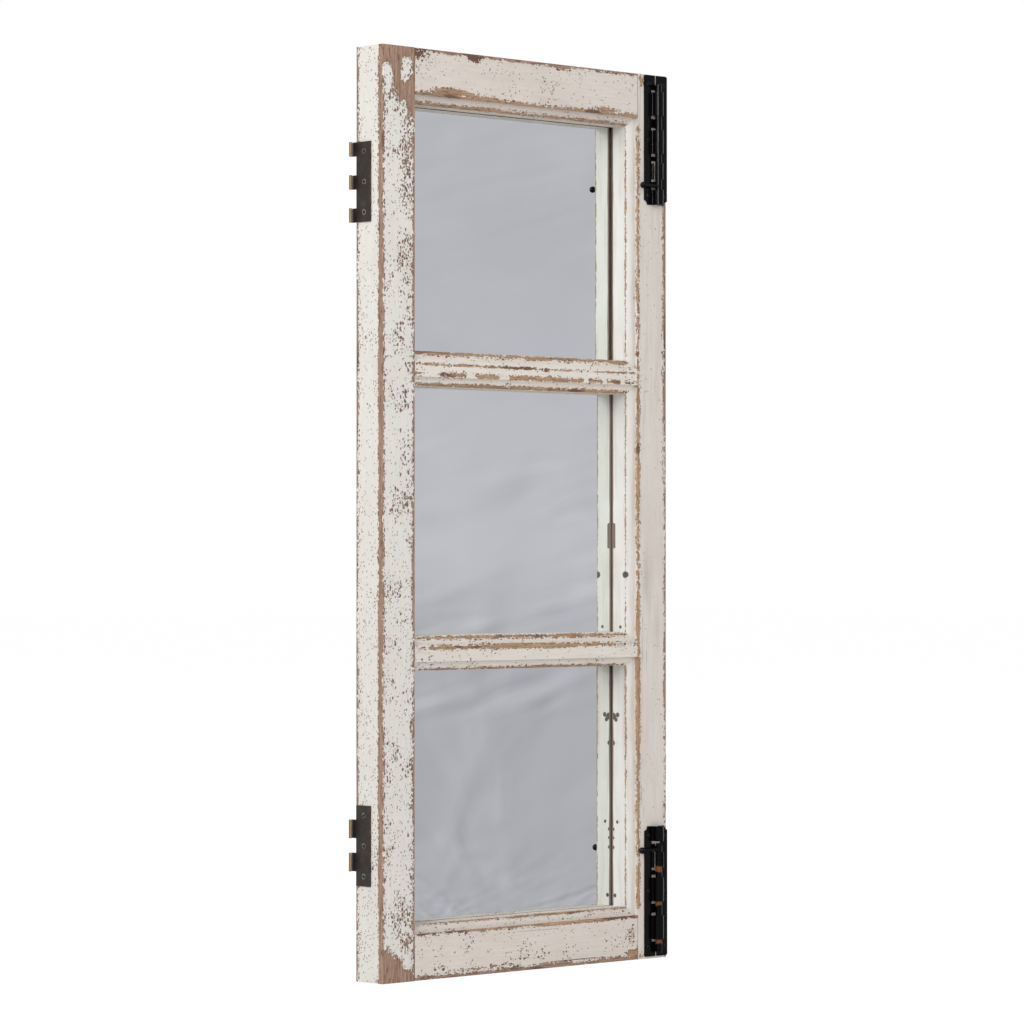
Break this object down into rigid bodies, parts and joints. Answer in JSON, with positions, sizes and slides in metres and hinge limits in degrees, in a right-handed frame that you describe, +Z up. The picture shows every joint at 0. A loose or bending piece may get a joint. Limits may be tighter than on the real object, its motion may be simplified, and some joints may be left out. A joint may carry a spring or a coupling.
{
  "type": "window mirror",
  "caption": "Old moulded window sash with mirror panes in its lights, half hinges on the left edge and barrel bolts with turning levers on the right stile.",
  "frame": {"origin": "centre of the sash's back, in the plane that lies against the wall", "axes": "+X to the right, -Y towards the viewer, out of the mirrored face, and +Z up"},
  "size_m": [0.3663, 0.0492, 0.83],
  "materials": {
    "paint": "worn off-white paint over bare wood",
    "mirror": "silvered glass",
    "hardboard": "brown hardboard",
    "black": "gloss black lacquer",
    "bronze": "dark bronzed faces with worn edges",
    "zinc": "yellowed zinc plate"
  },
  "bodies": {
    "sash": {"left_stile": "paint", "right_stile": "paint", "top_rail": "paint", "bottom_rail": "paint", "upper_muntin": "paint", "lower_muntin": "paint", "top_mirror": "mirror", "middle_mirror": "mirror", "bottom_mirror": "mirror", "top_backer": "hardboard", "middle_backer": "hardboard", "bottom_backer": "hardboard", "glazing_points": "zinc", "upper_hinge_leaf": "bronze", "lower_hinge_leaf": "bronze", "hinge_screws": "bronze", "upper_bolt_plate": "black", "lower_bolt_plate": "black", "bolt_screws": "black", "left_hanger_strap": "zinc", "right_hanger_strap": "zinc", "hanger_screws": "zinc"},
    "upper_rod": {"upper_bolt_rod": "black"},
    "upper_lever": {"upper_bolt_lever": "black"},
    "lower_rod": {"lower_bolt_rod": "black"},
    "lower_lever": {"lower_bolt_lever": "black"},
    "left_ring": {"left_hanger_ring": "zinc"},
    "right_ring": {"right_hanger_ring": "zinc"}
  },
  "joints": [
    {"name": "upper_bolt_slide", "type": "slide", "parent": "sash", "child": "upper_rod", "axis": [0, 0, 1], "range_m": [-0.0013, 0.0282]},
    {"name": "upper_lever_turn", "type": "hinge", "parent": "upper_rod", "child": "upper_lever", "pos_m": [0.1647, -0.03968, 0.3101], "axis": [0, 0, 1], "range_deg": [-5, 80]},
    {"name": "lower_bolt_slide", "type": "slide", "parent": "sash", "child": "lower_rod", "axis": [0, 0, -1], "range_m": [-0.0059, 0.0238]},
    {"name": "lower_lever_turn", "type": "hinge", "parent": "lower_rod", "child": "lower_lever", "pos_m": [0.1647, -0.03968, -0.3131], "axis": [0, 0, 1], "range_deg": [0, 85]},
    {"name": "left_ring_swing", "type": "hinge", "parent": "sash", "child": "left_ring", "pos_m": [-0.158, 0.00262, 0.25], "axis": [1, 0, 0], "range_deg": [0, 178]},
    {"name": "right_ring_swing", "type": "hinge", "parent": "sash", "child": "right_ring", "pos_m": [0.158, 0.00262, 0.25], "axis": [1, 0, 0], "range_deg": [0, 178]}
  ]
}
